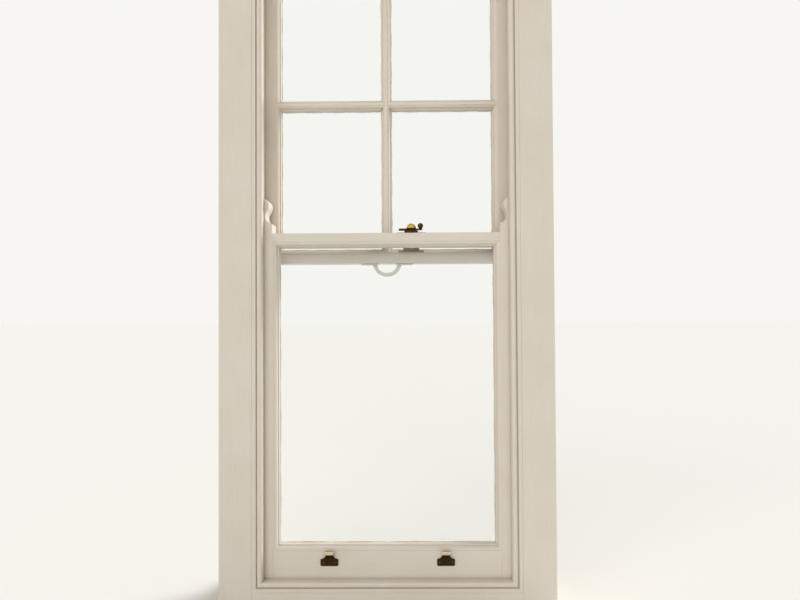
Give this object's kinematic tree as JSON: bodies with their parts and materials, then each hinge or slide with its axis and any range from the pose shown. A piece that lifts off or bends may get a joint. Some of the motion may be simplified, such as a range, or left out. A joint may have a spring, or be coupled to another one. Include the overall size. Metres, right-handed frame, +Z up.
{
  "type": "sash window",
  "caption": "Painted timber box sash window with its frame: a four-light upper sash let down a little over a single-light lower sash, on cords, pulleys and weights.",
  "frame": {"origin": "middle of the sill's flat underside, below the plane between the two sashes", "axes": "+Z up; +Y from the room to the outside; +X to the right as seen from the room"},
  "size_m": [0.81, 0.2045, 1.7599],
  "materials": {
    "painted_wood": "satin oil paint",
    "bare_wood": "sawn and planed softwood",
    "glass": "drawn sheet",
    "putty": "painted linseed putty",
    "cord": "waxed cotton braid",
    "iron": "as cast, rusted",
    "case_iron": "painted over",
    "steel": "turned",
    "brass": "aged",
    "white_metal": "gloss paint"
  },
  "bodies": {
    "frame": {"back_linings": "bare_wood", "cord_bends": "cord", "head": "painted_wood", "inner_lining_left": "painted_wood", "inner_lining_right": "painted_wood", "inner_lining_top": "painted_wood", "outer_lining_left": "painted_wood", "outer_lining_right": "painted_wood", "outer_lining_top": "painted_wood", "parting_bead_left": "painted_wood", "parting_bead_right": "painted_wood", "parting_bead_top": "painted_wood", "pocket_pieces": "bare_wood", "pulley_axles": "steel", "pulley_cases": "case_iron", "pulley_screws": "steel", "pulley_stile_left": "painted_wood", "pulley_stile_right": "painted_wood", "sill": "painted_wood", "sill_lining": "painted_wood", "staff_bead_bottom": "painted_wood", "staff_bead_left": "painted_wood", "staff_bead_right": "painted_wood", "staff_bead_top": "painted_wood", "wagtails": "bare_wood"},
    "lower_sash": {"lower_stile_left": "painted_wood", "lower_stile_right": "painted_wood", "lower_meeting_rail": "painted_wood", "lower_bottom_rail": "painted_wood", "lower_pane": "glass", "lower_putty": "putty", "sash_lifts": "brass", "fastener_base": "brass", "lower_sash_screws": "brass", "sash_cords_lower": "cord"},
    "upper_sash": {"upper_stile_left": "painted_wood", "upper_stile_right": "painted_wood", "upper_meeting_rail": "painted_wood", "upper_top_rail": "painted_wood", "upper_bar_upright": "painted_wood", "upper_bar_cross": "painted_wood", "upper_panes": "glass", "upper_putty": "putty", "bow_handle": "white_metal", "fastener_keeper": "brass", "upper_sash_screws": "white_metal", "sash_cords_upper": "cord"},
    "lever": {"fastener_lever": "brass"},
    "wheel_lower_left": {"pulley_wheel_lower_left": "brass"},
    "ballast_lower_left": {"weight_lower_left": "iron", "weight_cord_lower_left": "cord"},
    "wheel_lower_right": {"pulley_wheel_lower_right": "brass"},
    "ballast_lower_right": {"weight_lower_right": "iron", "weight_cord_lower_right": "cord"},
    "wheel_upper_left": {"pulley_wheel_upper_left": "brass"},
    "ballast_upper_left": {"weight_upper_left": "iron", "weight_cord_upper_left": "cord"},
    "wheel_upper_right": {"pulley_wheel_upper_right": "brass"},
    "ballast_upper_right": {"weight_upper_right": "iron", "weight_cord_upper_right": "cord"}
  },
  "joints": [
    {"name": "upper_sash_slide", "type": "slide", "parent": "frame", "child": "upper_sash", "axis": [0, 0, 1], "range_m": [-0.68, 0.046], "deforming": ["sash_cords_upper"]},
    {"name": "lower_sash_slide", "type": "slide", "parent": "frame", "child": "lower_sash", "axis": [0, 0, 1], "range_m": [0, 0.69], "deforming": ["sash_cords_lower"]},
    {"name": "fastener_turn", "type": "hinge", "parent": "lower_sash", "child": "lever", "pos_m": [0.062, -0.02, 0.919], "axis": [0, 0, 1], "range_deg": [-90, 0]},
    {"name": "ballast_lower_left_slide", "type": "slide", "parent": "frame", "child": "ballast_lower_left", "axis": [0, 0, 1], "range_m": [-0.69, 0], "deforming": ["weight_cord_lower_left"]},
    {"name": "wheel_lower_left_turn", "type": "hinge", "parent": "frame", "child": "wheel_lower_left", "pos_m": [-0.338, -0.027, 1.6159], "axis": [0, 1, 0], "range_deg": [-1584, 3]},
    {"name": "ballast_lower_right_slide", "type": "slide", "parent": "frame", "child": "ballast_lower_right", "axis": [0, 0, 1], "range_m": [-0.69, 0], "deforming": ["weight_cord_lower_right"]},
    {"name": "wheel_lower_right_turn", "type": "hinge", "parent": "frame", "child": "wheel_lower_right", "pos_m": [0.338, -0.027, 1.6159], "axis": [0, 1, 0], "range_deg": [-3, 1584]},
    {"name": "ballast_upper_left_slide", "type": "slide", "parent": "frame", "child": "ballast_upper_left", "axis": [0, 0, 1], "range_m": [-0.046, 0.68], "deforming": ["weight_cord_upper_left"]},
    {"name": "wheel_upper_left_turn", "type": "hinge", "parent": "frame", "child": "wheel_upper_left", "pos_m": [-0.338, 0.027, 1.6159], "axis": [0, 1, 0], "range_deg": [-108, 1561]},
    {"name": "ballast_upper_right_slide", "type": "slide", "parent": "frame", "child": "ballast_upper_right", "axis": [0, 0, 1], "range_m": [-0.046, 0.68], "deforming": ["weight_cord_upper_right"]},
    {"name": "wheel_upper_right_turn", "type": "hinge", "parent": "frame", "child": "wheel_upper_right", "pos_m": [0.338, 0.027, 1.6159], "axis": [0, 1, 0], "range_deg": [-1561, 108]}
  ],
  "couplings": [
    {"joint": "ballast_lower_left_slide", "follows": "lower_sash_slide", "ratio": -1},
    {"joint": "wheel_lower_left_turn", "follows": "lower_sash_slide", "rad_per_m": -40},
    {"joint": "ballast_lower_right_slide", "follows": "lower_sash_slide", "ratio": -1},
    {"joint": "wheel_lower_right_turn", "follows": "lower_sash_slide", "rad_per_m": 40},
    {"joint": "ballast_upper_left_slide", "follows": "upper_sash_slide", "ratio": -1},
    {"joint": "wheel_upper_left_turn", "follows": "upper_sash_slide", "rad_per_m": -40},
    {"joint": "ballast_upper_right_slide", "follows": "upper_sash_slide", "ratio": -1},
    {"joint": "wheel_upper_right_turn", "follows": "upper_sash_slide", "rad_per_m": 40}
  ]
}
